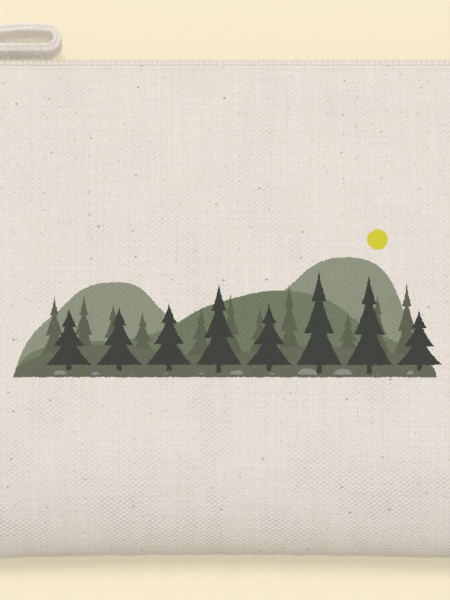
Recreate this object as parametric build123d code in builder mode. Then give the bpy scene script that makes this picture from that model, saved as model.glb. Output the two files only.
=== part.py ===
"""Small zip pouch of natural canvas, lying on its back and filled out a little.

Two canvas panels are sewn together round three sides. A coil zip closes the fourth, with its tapes inside the
folded canvas edges. The slider's pull carries a folded canvas loop.
Millimetres. +X runs along the zip, +Y towards it and +Z out of the front panel.
The origin is under the middle of the whole thing, on the surface it lies on.
"""

import os
from math import asin, cos, degrees, radians, sin, sqrt

from build123d import *

os.makedirs("parts", exist_ok=True)

# --- driving dimensions ---------------------------------------------------------------------------------------

# canvas body
POUCH_WIDTH = 178.0  # over the side seams
POUCH_HEIGHT = 128.7  # bottom edge, at the corners, to the top of the coil
CANVAS = 0.8  # thickness of the cloth
SEAT = 0.1  # clearance between pieces that lie on each other
FRONT_RISE = 15.0  # crown of the front panel above the side seams
BACK_DROP = 9.0  # side seams above the surface that the back lies on
BOTTOM_ROLL = 28.0  # depth over which the panels roll down to the bottom seam
SIDE_ROLL = 34.0  # width over which the panels roll down to a side seam
BACK_LIFT = 32.0  # length of back panel that lifts off the surface towards the zip
BOTTOM_BOW = 1.7  # how far the filled pouch draws the middle of its bottom edge in
SEAM_HALF = 1.3  # half the thickness of the sewn side edge
PINCH = 0.75  # share of that thickness left where the seam takes in the zip
ROLL_STEPS = (0.0, 0.45, 0.75, 0.93, 1.0)  # shares of the side roll where a section stands
MIDDLE_STEP = 28.0  # one more section here, for the bow of the bottom edge

# zip
COIL_PITCH = 1.5
COIL_WIDTH = 4.8  # both rows in mesh
COIL_THICKNESS = 2.9
COIL_STANDS = 2.0  # coil above the folded canvas edges
TAPE = 0.6  # thickness of the woven tape
TAPE_GAP = 2.4  # between the two tapes, under the coil
TAPE_LEG = 9.0  # tape sewn down the inside of each panel
TAPE_BEND = 1.0  # radius of the tape's bend, at its middle
LIP = 1.6  # folded canvas edge that shows beside the zip
LIP_FOLD = 0.9  # outside radius of that fold
MOUTH_CLEAR = 0.3  # slider to the folded edges
MESH_DEPTH = 0.4  # how far a tooth reaches past the middle
TOOTH_WIDTH = 0.66
TOOTH_TIP = 0.34  # width of the rounded-off end of a tooth
TOOTH_TAPER = 0.35  # length of that end
CORE = 0.9  # cord that the teeth are wound on
ZIP_END_INSET = 5.0  # tape ends, in from the side seams
STOP_INSET = 0.8  # stops, in from the tape ends
STOP_LENGTH = 2.2
STOP_WALL = 0.5  # of the stops, round the tapes
STOP_REACH = 3.3  # top stops, out from the middle

# slider
SLIDER_LENGTH = 11.0
SLIDER_PLATE = 1.1
SLIDER_WALL = 0.75  # flanges
SLIDER_CLEAR = 0.25  # running clearance round the coil and the tapes
POST_LENGTH = 3.0  # diamond-shaped post that parts the rows
POST_HALF = 0.5
POST_PLACE = -2.8  # middle of the post from the middle of the slider
THROAT_START = 0.3  # the rows start to part here, from the middle of the slider
THROAT_RUN = 2.2  # and have parted after this length
PARTED = 1.1  # by this much each
CROWN_RADIUS = 1.3  # inside of the arch that holds the pull
CROWN_BAND = 1.1
CROWN_WIDTH = 1.6
CROWN_PLACE = 0.4  # middle of the arch from the middle of the slider
NOSE_RADIUS = 2.2  # front corners, seen from above
TAIL_RADIUS = 1.0  # rear corners
SHOULDER_RADIUS = 1.5  # where the sides draw in
PLATE_EDGE = 0.3  # rounding of the top plate's rim

# pull and loop
PIVOT_RADIUS = 0.6
PIVOT_LIFT = 0.85  # pull's pivot above the slider's top plate
PULL_CLEAR = 0.3
PULL_THICKNESS = 1.2
PULL_NECK = 5.6  # width at the arch
PULL_REACH = 10.0  # pivot to the bar that carries the loop
EYE_BAR_RADIUS = 0.7
EYE_RIM = 1.4
PULL_ROUND = 1.2  # corners of the pull's outline
LOOP_WIDTH = 6.0
LOOP_THICKNESS = 2.2  # canvas strip folded on itself
LOOP_CLEAR = 0.2  # loop round the bar
LOOP_LENGTH = 26.5  # outside, end to end
LOOP_OPEN = 2.6  # gap between the strands at the free end
LOOP_STANDS = 1.25  # lower strand above the coil

# --- places worked out from them ------------------------------------------------------------------------------

HALF_WIDTH = POUCH_WIDTH / 2
CORNER_RADIUS = SIDE_ROLL * (1 - ROLL_STEPS[2])  # bottom corners, seen from the front
CORNER_X = HALF_WIDTH - CORNER_RADIUS
REAR_HALF = COIL_WIDTH / 2 + SLIDER_CLEAR + SLIDER_WALL  # half the slider's width where the rows are in mesh
FRONT_HALF = REAR_HALF + PARTED
MOUTH_HALF = FRONT_HALF + MOUTH_CLEAR + LIP  # middle of the zip to a panel's outer face at its folded edge
LOOP_TURN = EYE_BAR_RADIUS + LOOP_CLEAR  # inside radius of the loop where it goes round the bar
LOOP_RISE = LOOP_STANDS + 2 * LOOP_THICKNESS + LOOP_OPEN  # top of the loop above the coil
BOTTOM_Y = -(POUCH_HEIGHT + LOOP_RISE) / 2
COIL_TOP = BOTTOM_Y + POUCH_HEIGHT
LIP_Y = COIL_TOP - COIL_STANDS  # outer face of the folded canvas edges
TAPE_Y = COIL_TOP - COIL_THICKNESS  # outer face of the tapes
SEAM_Z = BACK_DROP
MOUTH_DEPTH = LIP_Y - BOTTOM_Y

TAPE_END = HALF_WIDTH - ZIP_END_INSET
STOP_START = -TAPE_END + STOP_INSET
SLIDER_X = STOP_START + STOP_LENGTH + SLIDER_CLEAR + SLIDER_LENGTH / 2
ROW_START = STOP_START + STOP_LENGTH + SEAT
ROW_END = TAPE_END - STOP_INSET - STOP_LENGTH - SEAT
TRAVEL = ROW_END - SLIDER_CLEAR - SLIDER_LENGTH / 2 - SLIDER_X

PLATE_LOW = COIL_TOP + SLIDER_CLEAR
PLATE_TOP = PLATE_LOW + SLIDER_PLATE
PIVOT_X = SLIDER_X + CROWN_PLACE
PIVOT_Y = PLATE_TOP + PIVOT_LIFT
EYE_Y = COIL_TOP + LOOP_STANDS + LOOP_THICKNESS + LOOP_TURN
PULL_TILT = degrees(asin((EYE_Y - PIVOT_Y) / PULL_REACH))
EYE_X = PIVOT_X + PULL_REACH * cos(radians(PULL_TILT))


# --- canvas body ----------------------------------------------------------------------------------------------


def edge_inset(x):
    """How far the bottom edge is in at x: by the bow of the filled pouch, then by the arc round the corner."""
    if abs(x) < CORNER_X:
        return BOTTOM_BOW * (1 - (x / CORNER_X) ** 2)
    past = min((abs(x) - CORNER_X) / CORNER_RADIUS, 1.0)
    return CORNER_RADIUS * (1 - sqrt(1 - past**2))


def level_arc(start, end):
    """Arc that leaves its start level, or a line where its end is level with it."""
    if abs(start[1] - end[1]) < 0.001:
        return Line(start, end)
    return TangentArc(start, end, tangent=(end[0] - start[0], 0))


def body_section(x, fullness, inset):
    """One closed section across the pouch at x, drawn inset from its outer face.

    fullness is 1 in the middle and 0 at a side seam. Local x is the height up from the bottom edge, and local y
    the height above the seams.
    """
    bottom = edge_inset(x) + inset
    top = MOUTH_DEPTH - inset
    least = SEAM_HALF - inset / 2
    front = max(least, (FRONT_RISE - inset) * fullness)
    back = max(least, (BACK_DROP - inset) * fullness)
    mouth = least * PINCH if fullness == 0 else MOUTH_HALF - inset
    rolled = bottom + BOTTOM_ROLL
    fold = LIP_FOLD - inset
    round_off = fold * (1 - sin(radians(45)))
    with BuildSketch(Plane(origin=(x, BOTTOM_Y, SEAM_Z), x_dir=(0, 1, 0), z_dir=(1, 0, 0))) as section:
        with BuildLine():
            level_arc((rolled, front), (bottom, 0))
            level_arc((rolled, front), (top - fold, mouth))
            ThreePointArc((top - fold, mouth), (top - round_off, mouth - round_off), (top, mouth - fold))
            Line((top, mouth - fold), (top, fold - mouth))
            ThreePointArc((top, fold - mouth), (top - round_off, round_off - mouth), (top - fold, -mouth))
            level_arc((top - BACK_LIFT, -back), (top - fold, -mouth))
            Line((top - BACK_LIFT, -back), (rolled, -back))
            level_arc((rolled, -back), (bottom, 0))
        make_face()
    return section.sketch


def roll_steps(inset):
    """Where the sections of one side roll stand, and how full the pouch is there: a quarter ellipse."""
    return [(HALF_WIDTH - inset - (SIDE_ROLL - inset) * (1 - u), sqrt(1 - u * u)) for u in ROLL_STEPS]


def body_sections(inset):
    """The sections from one side seam to the other."""
    right = [(MIDDLE_STEP, 1.0)] + roll_steps(inset)
    left = [(-x, fullness) for x, fullness in reversed(right)]
    return [body_section(x, fullness, inset) for x, fullness in left + [(0.0, 1.0)] + right]


with BuildPart() as shell:
    loft(body_sections(0.0), ruled=True)
    loft(body_sections(CANVAS), ruled=True, mode=Mode.SUBTRACT)
    with Locations((0, LIP_Y, SEAM_Z)):
        Box(2 * TAPE_END, 4 * CANVAS, 2 * (MOUTH_HALF - LIP), mode=Mode.SUBTRACT)

with BuildPart() as front_panel:
    add(shell.part)
    split(bisect_by=Plane.XY.offset(SEAM_Z), keep=Keep.TOP)
front_panel.part.label = "front_panel"

with BuildPart() as back_panel:
    add(shell.part)
    split(bisect_by=Plane.XY.offset(SEAM_Z), keep=Keep.BOTTOM)
back_panel.part.label = "back_panel"


# --- zip tapes and their coils --------------------------------------------------------------------------------


def fullness_at(x):
    """How full the straight-sided loft is at x, from the two sections that it lies between."""
    steps = roll_steps(CANVAS)
    for (x0, full0), (x1, full1) in zip(steps, steps[1:]):
        if x0 <= x <= x1:
            return full0 + (full1 - full0) * (x - x0) / (x1 - x0)
    return 1.0


def tape_sketch(side):
    """Section of one tape: flat beside the coil, then bent down along the inside of its panel.

    side is 1 for the front panel and -1 for the back one. The leg follows the panel's inner face where the panel
    is slimmest, at the tape's end, so it stays inside it all the way.
    """
    height, run = {1: (FRONT_RISE, MOUTH_DEPTH - BOTTOM_ROLL), -1: (BACK_DROP, BACK_LIFT)}[side]
    rise = (height - CANVAS) * fullness_at(TAPE_END) - (MOUTH_HALF - CANVAS)
    share = TAPE_LEG / run
    leg_out = rise * share * (2 - share)  # the panel's arc is nearly a parabola that is level at its far end
    seat = MOUTH_HALF - CANVAS - SEAT - TAPE / 2
    middle = TAPE_Y - TAPE / 2
    with BuildSketch(Plane(origin=(-TAPE_END, 0, SEAM_Z), x_dir=(0, 1, 0), z_dir=(1, 0, 0))) as section:
        with BuildLine():
            FilletPolyline(
                (middle, side * TAPE_GAP / 2),
                (middle, side * seat),
                (middle - TAPE_LEG, side * (seat + leg_out)),
                radius=TAPE_BEND,
            )
        trace(line_width=TAPE)
    return section.sketch


def parted(x):
    """How far a row stands out from the middle at x: nothing in the closed zip, more round the slider's post."""
    past = (SLIDER_X + THROAT_START - x) / THROAT_RUN
    return PARTED * min(max(past, 0.0), 1.0)


def tooth(x):
    """One tooth in plan, as points from its root round its tapered tip and back, with the middle at 0."""
    root = COIL_WIDTH / 2 - CORE + parted(x)
    tip = parted(x) - MESH_DEPTH
    half = TOOTH_WIDTH / 2
    return [
        (x - half, root),
        (x - half, tip + TOOTH_TAPER),
        (x - TOOTH_TIP / 2, tip),
        (x + TOOTH_TIP / 2, tip),
        (x + half, tip + TOOTH_TAPER),
        (x + half, root),
    ]


def coil_outline(side):
    """One row in plan: a comb of teeth on the core's band.

    Local y runs down -Z, so side is -1 at the front tape and 1 at the back one.
    """
    count = int((ROW_END - ROW_START) / COIL_PITCH) - 1
    shift = 0.5 if side < 0 else 0.0  # the front row's teeth stand between the back row's
    teeth = [tooth(ROW_START + (k + 0.5 + shift) * COIL_PITCH) for k in range(count)]
    bends = [ROW_START, SLIDER_X + THROAT_START - THROAT_RUN, SLIDER_X + THROAT_START, ROW_END]
    inner = COIL_WIDTH / 2 - CORE
    comb = [(ROW_START, inner + PARTED)]
    comb += [point for points in teeth for point in points]
    comb += [(ROW_END, inner)]
    comb += [(x, inner + CORE + parted(x)) for x in reversed(bends)]
    return [(x, side * z) for x, z in comb]


def zip_plane(y):
    """Plane along the zip at height y, facing out of the pouch, with local x along the zip and local y down -Z."""
    return Plane(origin=(0, y, SEAM_Z), x_dir=(1, 0, 0), z_dir=(0, 1, 0))


with BuildPart() as tape_front:
    extrude(tape_sketch(1), amount=2 * TAPE_END)
tape_front.part.label = "tape_front"

with BuildPart() as tape_back:
    extrude(tape_sketch(-1), amount=2 * TAPE_END)
tape_back.part.label = "tape_back"

with BuildPart() as coil_front:
    with BuildSketch(zip_plane(TAPE_Y)):
        with BuildLine():
            Polyline(coil_outline(-1), close=True)
        make_face()
    extrude(amount=COIL_THICKNESS)
coil_front.part.label = "coil_front"

with BuildPart() as coil_back:
    with BuildSketch(zip_plane(TAPE_Y)):
        with BuildLine():
            Polyline(coil_outline(1), close=True)
        make_face()
    extrude(amount=COIL_THICKNESS)
coil_back.part.label = "coil_back"


# --- end stops ------------------------------------------------------------------------------------------------

STOP_LOW = TAPE_Y - TAPE - SEAT - STOP_WALL
TAPE_EDGE = TAPE_GAP / 2


def stop_section(x, inner, outer, top):
    """Section of a stop at x, clipped over the inner edges of the tapes, from z inner to z outer."""
    with BuildSketch(Plane(origin=(x, 0, SEAM_Z), x_dir=(0, 1, 0), z_dir=(1, 0, 0))) as section:
        with Locations(((STOP_LOW + top) / 2, (inner + outer) / 2)):
            Rectangle(top - STOP_LOW, abs(outer - inner))
        for side in (1, -1):
            with Locations((TAPE_Y - TAPE / 2, side * (TAPE_EDGE - SEAT + MOUTH_HALF / 2))):
                Rectangle(TAPE + 2 * SEAT, MOUTH_HALF, mode=Mode.SUBTRACT)
    return section.sketch


with BuildPart() as top_stop_front:
    extrude(
        stop_section(STOP_START, TAPE_EDGE - SEAT - STOP_WALL, STOP_REACH, COIL_TOP - STOP_WALL),
        amount=STOP_LENGTH,
    )
top_stop_front.part.label = "top_stop_front"

with BuildPart() as top_stop_back:
    extrude(
        stop_section(STOP_START, -(TAPE_EDGE - SEAT - STOP_WALL), -STOP_REACH, COIL_TOP - STOP_WALL),
        amount=STOP_LENGTH,
    )
top_stop_back.part.label = "top_stop_back"

with BuildPart() as bottom_stop:
    extrude(
        stop_section(ROW_END + SEAT, -COIL_WIDTH / 2, COIL_WIDTH / 2, COIL_TOP),
        amount=STOP_LENGTH,
    )
bottom_stop.part.label = "bottom_stop"


# --- slider ---------------------------------------------------------------------------------------------------

BASE_TOP = TAPE_Y - TAPE - SLIDER_CLEAR  # lower plate's face under the tapes


def slider_side(start, end, inset):
    """One side of the slider in plan, from its front to its rear, drawn inset from the outer face."""
    widest = SLIDER_X + THROAT_START - THROAT_RUN
    slim = SLIDER_X + THROAT_START + SLIDER_WALL
    front, rear = FRONT_HALF - inset, REAR_HALF - inset
    return [(start, front), (widest, front), (slim, rear), (end, rear)]


def slider_plan(y):
    """Outline of both plates on the zip's plane at height y, with rounded corners."""
    side = slider_side(SLIDER_X - SLIDER_LENGTH / 2, SLIDER_X + SLIDER_LENGTH / 2, 0.0)
    with BuildSketch(zip_plane(y)) as plan:
        with BuildLine():
            Polyline(side + [(x, -z) for x, z in reversed(side)], close=True)
        make_face()
        corners = plan.vertices().group_by(Axis.X)
        for ends, radius in zip(corners, (NOSE_RADIUS, SHOULDER_RADIUS, SHOULDER_RADIUS, TAIL_RADIUS)):
            fillet(ends, radius=radius)
    return plan.sketch


def channel_plan():
    """The way through between the flanges, which runs past both ends."""
    side = slider_side(SLIDER_X - SLIDER_LENGTH, SLIDER_X + SLIDER_LENGTH, SLIDER_WALL)
    return side + [(x, -z) for x, z in reversed(side)]


with BuildPart() as slider:
    extrude(slider_plan(BASE_TOP - SLIDER_PLATE), amount=SLIDER_PLATE)
    extrude(slider_plan(TAPE_Y + SLIDER_CLEAR), amount=PLATE_TOP - TAPE_Y - SLIDER_CLEAR)
    fillet(faces().sort_by(Axis.Y)[-1].edges(), radius=PLATE_EDGE)
    with BuildSketch(zip_plane(TAPE_Y)):
        with BuildLine():
            Polyline(channel_plan(), close=True)
        make_face()
    extrude(amount=PLATE_LOW - TAPE_Y, mode=Mode.SUBTRACT)
    # post between the plates
    post_x = SLIDER_X + POST_PLACE
    with BuildSketch(zip_plane(BASE_TOP)):
        with BuildLine():
            Polyline(
                (post_x - POST_LENGTH / 2, 0),
                (post_x, POST_HALF),
                (post_x + POST_LENGTH / 2, 0),
                (post_x, -POST_HALF),
                close=True,
            )
        make_face()
    extrude(amount=PLATE_LOW - BASE_TOP)
    # arch that holds the pull
    with BuildSketch(Plane(origin=(PIVOT_X, PIVOT_Y, SEAM_Z - CROWN_WIDTH / 2))):
        with BuildLine():
            outer = CROWN_RADIUS + CROWN_BAND
            Line((-outer, -PIVOT_LIFT), (-outer, 0))
            ThreePointArc((-outer, 0), (0, outer), (outer, 0))
            Polyline((outer, 0), (outer, -PIVOT_LIFT), (CROWN_RADIUS, -PIVOT_LIFT), (CROWN_RADIUS, 0))
            ThreePointArc((CROWN_RADIUS, 0), (0, CROWN_RADIUS), (-CROWN_RADIUS, 0))
            Polyline((-CROWN_RADIUS, 0), (-CROWN_RADIUS, -PIVOT_LIFT), (-outer, -PIVOT_LIFT))
        make_face()
    extrude(amount=CROWN_WIDTH)
slider.part.label = "slider"


# --- pull -----------------------------------------------------------------------------------------------------

TILT = radians(PULL_TILT)
PULL_PLANE = Plane(
    origin=(PIVOT_X, PIVOT_Y, SEAM_Z), x_dir=(cos(TILT), sin(TILT), 0), z_dir=(-sin(TILT), cos(TILT), 0)
)
EYE_HALF = LOOP_WIDTH / 2 + PULL_CLEAR
EYE_START = PULL_REACH - LOOP_TURN - LOOP_THICKNESS - PULL_CLEAR
NECK_HOLE = CROWN_RADIUS + CROWN_BAND + PULL_CLEAR

with BuildPart() as puller:
    with BuildSketch(PULL_PLANE.offset(-PULL_THICKNESS / 2)):
        with BuildLine():
            side = [(0, PULL_NECK / 2), (NECK_HOLE, PULL_NECK / 2), (EYE_START - EYE_RIM, EYE_HALF + EYE_RIM)]
            side += [(PULL_REACH, EYE_HALF + EYE_RIM)]
            Polyline(side + [(x, -y) for x, y in reversed(side)], close=True)
        make_face()
        fillet(vertices().group_by(Axis.X)[1:3], radius=PULL_ROUND)
        with Locations((NECK_HOLE / 2, 0)):
            Rectangle(NECK_HOLE, CROWN_WIDTH + 2 * PULL_CLEAR, mode=Mode.SUBTRACT)
        with Locations(((EYE_START + PULL_REACH) / 2, 0)):
            Rectangle(PULL_REACH - EYE_START, 2 * EYE_HALF, mode=Mode.SUBTRACT)
    extrude(amount=PULL_THICKNESS)
    with BuildSketch(Plane(origin=(PIVOT_X, PIVOT_Y, SEAM_Z - PULL_NECK / 2))):
        Circle(PIVOT_RADIUS)
    extrude(amount=PULL_NECK)
    with BuildSketch(Plane(origin=(EYE_X, EYE_Y, SEAM_Z - EYE_HALF - EYE_RIM))):
        Circle(EYE_BAR_RADIUS)
    extrude(amount=2 * (EYE_HALF + EYE_RIM))
puller.part.label = "puller"


# --- canvas loop ----------------------------------------------------------------------------------------------

LOOP_END = EYE_X - LOOP_TURN - LOOP_THICKNESS + LOOP_LENGTH
LOW_INSIDE = EYE_Y - LOOP_TURN  # inner face of the lower strand

with BuildPart() as pull_loop:
    with BuildSketch(Plane.XY.offset(SEAM_Z - LOOP_WIDTH / 2)):
        end_x = LOOP_END - LOOP_THICKNESS - LOOP_OPEN / 2
        with BuildLine():
            ThreePointArc((EYE_X, LOW_INSIDE), (EYE_X - LOOP_TURN, EYE_Y), (EYE_X, EYE_Y + LOOP_TURN))
            Line((EYE_X, EYE_Y + LOOP_TURN), (end_x, LOW_INSIDE + LOOP_OPEN))
            ThreePointArc(
                (end_x, LOW_INSIDE + LOOP_OPEN),
                (end_x + LOOP_OPEN / 2, LOW_INSIDE + LOOP_OPEN / 2),
                (end_x, LOW_INSIDE),
            )
            Line((end_x, LOW_INSIDE), (EYE_X, LOW_INSIDE))
        inside = make_face()
        offset(amount=LOOP_THICKNESS)
        add(inside, mode=Mode.SUBTRACT)
    extrude(amount=LOOP_WIDTH)
pull_loop.part.label = "pull_loop"


for piece in (
    front_panel,
    back_panel,
    tape_front,
    tape_back,
    coil_front,
    coil_back,
    top_stop_front,
    top_stop_back,
    bottom_stop,
    slider,
    puller,
    pull_loop,
):
    export_step(piece.part, f"parts/{piece.part.label}.step")
print(f"slider travel {TRAVEL:.2f} mm, pull pivot ({PIVOT_X:.2f}, {PIVOT_Y:.2f}, {SEAM_Z:.2f})")
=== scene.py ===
"""Small zip pouch of natural canvas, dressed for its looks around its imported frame.

Metres. +X runs along the zip, +Y towards it and +Z out of the front panel. Lengths in the classes are in
millimetres, as a sewing pattern gives them, and are scaled once when a mesh is made.
"""

import logging
import math
from dataclasses import dataclass
from enum import Enum
from typing import Any

import bpy
import numpy as np
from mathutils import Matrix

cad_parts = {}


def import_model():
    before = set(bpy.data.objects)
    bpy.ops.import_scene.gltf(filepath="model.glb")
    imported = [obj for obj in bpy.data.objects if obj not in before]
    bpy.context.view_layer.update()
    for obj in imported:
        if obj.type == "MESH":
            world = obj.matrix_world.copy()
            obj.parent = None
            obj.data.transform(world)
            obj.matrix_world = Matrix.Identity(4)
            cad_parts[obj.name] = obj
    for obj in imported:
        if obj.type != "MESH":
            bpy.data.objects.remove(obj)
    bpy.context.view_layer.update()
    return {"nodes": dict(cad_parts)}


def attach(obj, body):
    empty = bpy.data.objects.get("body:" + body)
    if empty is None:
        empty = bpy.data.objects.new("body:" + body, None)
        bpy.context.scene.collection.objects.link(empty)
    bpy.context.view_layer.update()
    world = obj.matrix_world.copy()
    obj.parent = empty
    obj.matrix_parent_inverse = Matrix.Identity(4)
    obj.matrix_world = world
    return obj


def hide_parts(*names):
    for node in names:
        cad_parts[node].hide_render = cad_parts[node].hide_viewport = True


MM = 0.001
LOG = logging.getLogger("pouch")
Points = np.ndarray
Shape = tuple[Points, list[Points]]  # points and blocks of faces
Tree = bpy.types.NodeTree
Node = bpy.types.Node
Feed = bpy.types.Node | bpy.types.NodeSocket
Material = bpy.types.Material
Piece = bpy.types.Object


# --- small tools ----------------------------------------------------------------------------------


def linear(colour: str) -> tuple[float, float, float, float]:
    """Turn an sRGB hex colour to linear light.

    Args:
        colour: six hex digits after a #.

    Returns:
        Linear red, green and blue, and a full opacity. Each channel is divided by 12.92 in the toe, and above
        it raised to 2.4 after the sRGB offset.
    """
    shares = [int(colour[k : k + 2], 16) / 255 for k in (1, 3, 5)]
    red, green, blue = (c / 12.92 if c <= 0.04045 else ((c + 0.055) / 1.055) ** 2.4 for c in shares)
    return red, green, blue, 1.0


def add_node(tree: Tree, kind: str, feeds: dict[Any, Any] | None = None, **settings: Any) -> Node:
    """Add one shader node with its settings and its links.

    Args:
        tree: node tree that it goes into.
        kind: Blender's type of the node, without the leading ShaderNode.
        feeds: input name or number to a constant, to the output socket that is linked to it, or to a node,
            which stands for its first output in use.
        settings: attributes of the node.

    Returns:
        The new node.
    """
    node = tree.nodes.new("ShaderNode" + kind)
    for name, value in settings.items():
        setattr(node, name, value)
    for name, value in (feeds or {}).items():
        if isinstance(value, bpy.types.Node):
            value = next(output for output in value.outputs if output.enabled)
        if isinstance(value, bpy.types.NodeSocket):
            tree.links.new(value, node.inputs[name])
        else:
            node.inputs[name].default_value = value
    return node


def new_material(name: str) -> tuple[Material, Tree]:
    """Make an empty node material.

    Args:
        name: the finish's name.

    Returns:
        The material and its cleared node tree.
    """
    material = bpy.data.materials.new(name)
    material.use_nodes = True
    material.node_tree.nodes.clear()
    return material, material.node_tree


def smooth_step(x: Points) -> Points:
    """Ease from 0 to 1: three times the clipped square less twice the cube."""
    t = np.clip(x, 0.0, 1.0)
    return t * t * (3 - 2 * t)


def unit(vectors: Points) -> Points:
    """Divide each vector by its length."""
    return vectors / np.maximum(np.linalg.norm(vectors, axis=-1, keepdims=True), 1e-12)


def grid_faces(rows: int, columns: int, closed_rows: bool = False, closed_columns: bool = False) -> Points:
    """List the quads of a grid of points kept row by row.

    Args:
        rows: points along the first parameter.
        columns: points along the second one.
        closed_rows: whether the last row joins the first.
        closed_columns: whether the last column joins the first.

    Returns:
        One row of four point numbers per quad. Their normal is the first parameter's step crossed with the
        second one's.
    """
    i = np.arange(rows if closed_rows else rows - 1)
    j = np.arange(columns if closed_columns else columns - 1)
    a, b = np.meshgrid(i, j, indexing="ij")
    a, b = a.ravel(), b.ravel()
    a1, b1 = (a + 1) % rows, (b + 1) % columns
    return np.stack([a * columns + b, a1 * columns + b, a1 * columns + b1, a * columns + b1], axis=1)


def mesh_piece(name: str, points: Points, faces: list[Points], cloth: Points | None = None) -> Piece:
    """Make a smooth-shaded mesh object at the origin.

    Args:
        name: the piece's name.
        points: one row of x, y and z per point, in millimetres.
        faces: blocks of faces, each an array with one row of point numbers per face.
        cloth: place on the flat cloth in millimetres, one row per point or per corner of the faces, or None.

    Returns:
        The object, linked to the scene.
    """
    mesh = bpy.data.meshes.new(name)
    mesh.from_pydata((points * MM).tolist(), [], [face for block in faces for face in block.tolist()])
    mesh.polygons.foreach_set("use_smooth", np.ones(len(mesh.polygons), bool))
    if cloth is not None:
        if len(cloth) == len(points):
            corners = np.zeros(len(mesh.loops), np.int32)
            mesh.loops.foreach_get("vertex_index", corners)
            cloth = cloth[corners]
        mesh.uv_layers.new(name="Cloth").data.foreach_set("uv", (cloth * MM).astype(np.float32).ravel())
    mesh.update()
    piece = bpy.data.objects.new(name, mesh)
    bpy.context.scene.collection.objects.link(piece)
    return piece


def tube(path: Points, out: Points, half_out: Points, half_side: Points, ring: int) -> Shape:
    """Carry an ellipse along a path.

    Each ring is the path's point plus the outward direction times a cosine and the side direction times a
    sine, where the side direction is the path's tangent crossed with the outward one.

    Args:
        path: points of the centre line.
        out: direction at each point that the ellipse's first axis takes.
        half_out: half the thickness along that direction, at each point.
        half_side: half the thickness across it, at each point.
        ring: points round the ellipse.

    Returns:
        The points and the face blocks, with both ends closed.
    """
    tangent = unit(np.gradient(path, axis=0))
    side = unit(np.cross(tangent, out))
    out = np.cross(side, tangent)
    angle = np.linspace(0, 2 * math.pi, ring, endpoint=False)
    points = (
        path[:, None]
        + out[:, None] * np.cos(angle)[None, :, None] * half_out[:, None, None]
        + side[:, None] * np.sin(angle)[None, :, None] * half_side[:, None, None]
    )
    count = len(path)
    faces = [grid_faces(count, ring, closed_columns=True)[:, ::-1]]
    faces.append(np.arange(ring)[None, ::-1])
    faces.append(np.arange(ring)[None] + (count - 1) * ring)
    return points.reshape(-1, 3), faces


def join(parts: list[Shape]) -> Shape:
    """Put several shapes into one, with their faces renumbered.

    Args:
        parts: points and face blocks of each shape.

    Returns:
        All the points and all the face blocks.
    """
    points, faces, start = [], [], 0
    for some, blocks in parts:
        points.append(some)
        faces += [block + start for block in blocks]
        start += len(some)
    return np.concatenate(points), faces


def wave(x: Points, y: Points, seed: int, lengths: tuple[float, ...]) -> Points:
    """Soft unevenness of a filled cloth: a sum of plane waves, one for each length.

    Each wave has its own direction and phase, drawn from the seed, and weighs as its length does.

    Args:
        x: places along the zip.
        y: places across it.
        seed: number that the directions and phases are drawn from.
        lengths: wavelengths.

    Returns:
        Heights between -1 and 1.
    """
    chance = np.random.default_rng(seed)
    total = np.zeros(np.broadcast(x, y).shape)
    for length in lengths:
        turn, phase = chance.uniform(0, 2 * math.pi, 2)
        ahead = x * math.cos(turn) + y * math.sin(turn)
        total = total + length * np.sin(2 * math.pi * ahead / length + phase)
    return total / sum(lengths)


# --- finishes -------------------------------------------------------------------------------------


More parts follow.
